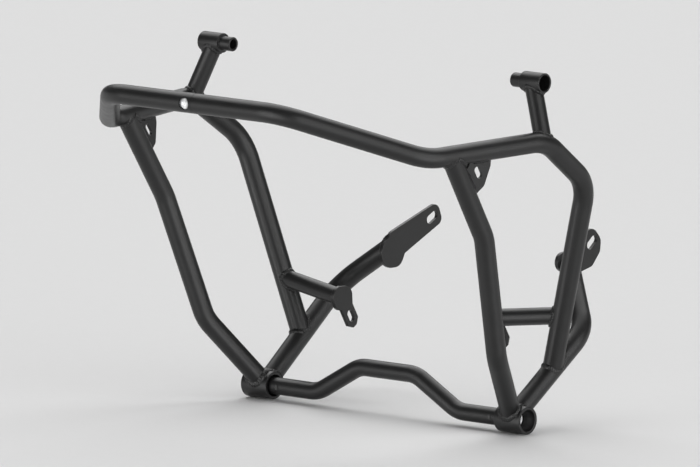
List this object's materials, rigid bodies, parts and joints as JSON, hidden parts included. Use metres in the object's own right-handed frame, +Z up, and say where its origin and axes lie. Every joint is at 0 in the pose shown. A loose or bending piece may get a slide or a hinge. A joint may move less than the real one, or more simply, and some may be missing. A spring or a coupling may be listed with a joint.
{
  "type": "motorcycle crash bars",
  "caption": "Front crash bars for a motorcycle: bent and welded steel tube halves, joined by a bolted insert in front and a tie bar below, with slotted plates.",
  "frame": {"origin": "on the axis of the lower bosses, midway between them", "axes": "+X across the machine, towards the half nearer to the camera in the picture; +Y towards the machine's rear; +Z up. The front crossbar is at -Y"},
  "size_m": [0.6152, 0.621, 0.462],
  "materials": {
    "painted": "satin black powder coat",
    "bare_steel": "turned, oiled",
    "zinc": "bright zinc plate",
    "black_screw": "black oxide"
  },
  "bodies": {
    "root": {"left_upper_rail": "painted", "right_upper_rail": "painted", "left_front_tube": "painted", "right_front_tube": "painted", "left_lower_arm": "painted", "right_lower_arm": "painted", "left_branch_tube": "painted", "right_branch_tube": "painted", "left_post": "painted", "right_post": "painted", "left_post_boss": "painted", "right_post_boss": "painted", "left_lower_boss": "painted", "right_lower_boss": "painted", "left_rear_plate": "painted", "right_rear_plate": "painted", "left_side_plate": "painted", "right_side_plate": "painted", "left_gusset": "painted", "right_gusset": "painted", "tie_bar": "painted", "left_tie_plug": "bare_steel", "right_tie_plug": "bare_steel", "tie_bolts": "black_screw", "tie_washers": "zinc", "joint_insert": "bare_steel", "joint_bolt": "zinc"}
  },
  "joints": []
}
